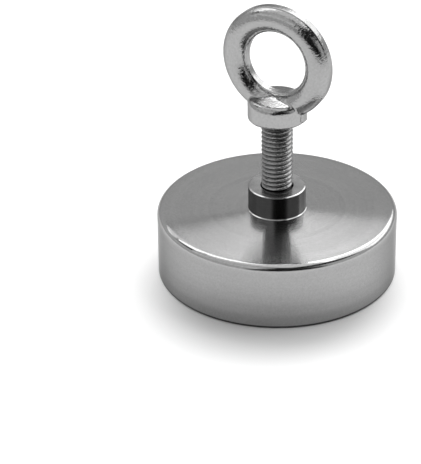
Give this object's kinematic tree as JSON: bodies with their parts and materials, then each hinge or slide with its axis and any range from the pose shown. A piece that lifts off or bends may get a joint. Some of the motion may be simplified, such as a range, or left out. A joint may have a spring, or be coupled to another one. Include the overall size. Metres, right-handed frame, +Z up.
{
  "type": "magnet fishing magnet",
  "caption": "Round steel pot magnet with a disc magnet potted into its underside, a threaded boss on its roof and a forged eyebolt for a retrieval rope.",
  "frame": {"origin": "centre of the working face, in the plane of the pot's rim", "axes": "+Z up along the bolt, away from the working face; +Y along the hole of the eye; X across the eye in its own plane"},
  "size_m": [0.075, 0.075, 0.0896],
  "materials": {
    "turned_steel": "turned in fine circles and nickel plated, satin",
    "plated_magnet": "nickel plated, smooth and slightly dull",
    "resin": "black cast resin, glossy, shrunk hollow",
    "polished_steel": "turned and nickel plated, bright",
    "forged_steel": "drop forged, trimmed, tumbled and bright plated"
  },
  "bodies": {
    "pot": {"pot_shell": "turned_steel", "disc_magnet": "plated_magnet", "potting_resin": "resin", "threaded_bush": "polished_steel"},
    "eyebolt": {"eyebolt": "forged_steel"}
  },
  "joints": [
    {"name": "eyebolt_turn", "type": "hinge", "parent": "pot", "child": "eyebolt", "pos_m": [0, 0, 0.0292], "axis": [0, 0, 1], "range_deg": [0, 3000]}
  ]
}
